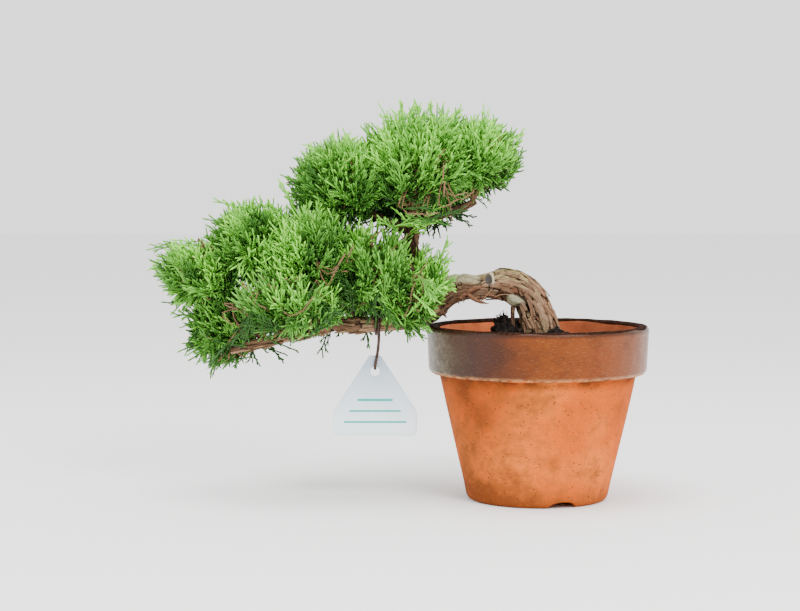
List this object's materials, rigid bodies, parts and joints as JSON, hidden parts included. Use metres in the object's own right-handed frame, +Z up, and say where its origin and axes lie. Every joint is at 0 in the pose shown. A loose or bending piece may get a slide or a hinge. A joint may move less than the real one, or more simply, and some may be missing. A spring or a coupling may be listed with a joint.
{
  "type": "potted chinese juniper bonsai",
  "caption": "Potted Chinese juniper bonsai: a bent trunk with a long cascading bough and dense scale-leaf foliage in a rimmed terracotta pot, with a blank label on a wire.",
  "frame": {"origin": "centre of the whole plant's footprint, on the surface that the pot stands on", "axes": "+X from the crown's cascade towards the pot, +Y away from the tree's front, +Z up"},
  "size_m": [0.2693, 0.1198, 0.2149],
  "materials": {
    "terracotta": "matte",
    "earth": "matte",
    "bark": "matte",
    "foliage": "satin",
    "wire": "satin",
    "label": "satin"
  },
  "bodies": {
    "plant": {"aerial_root": "bark", "bough_apex": "bark", "bough_back": "bark", "bough_cascade": "bark", "bough_fork_front": "bark", "bough_front": "bark", "bough_heart": "bark", "bough_heart_right": "bark", "bough_left": "bark", "bough_shoulder": "bark", "bough_top_back": "bark", "bough_top_left": "bark", "bough_top_right": "bark", "foliage_back_low": "foliage", "foliage_fork": "foliage", "foliage_front_low": "foliage", "foliage_heart": "foliage", "foliage_heart_right": "foliage", "foliage_left_end": "foliage", "foliage_low_end": "foliage", "foliage_shoulder": "foliage", "foliage_top_back": "foliage", "foliage_top_left": "foliage", "foliage_top_middle": "foliage", "foliage_top_right": "foliage", "pot": "terracotta", "soil": "earth", "tag_wire": "wire", "trunk_arm": "bark", "trunk_foot": "bark"},
    "tag": {"tag": "label"}
  },
  "joints": [
    {"name": "tag_swing", "type": "hinge", "parent": "plant", "child": "tag", "pos_m": [-0.0136, -0.0081, 0.0715], "axis": [0, 1, 0], "range_deg": [-25, 40]}
  ]
}
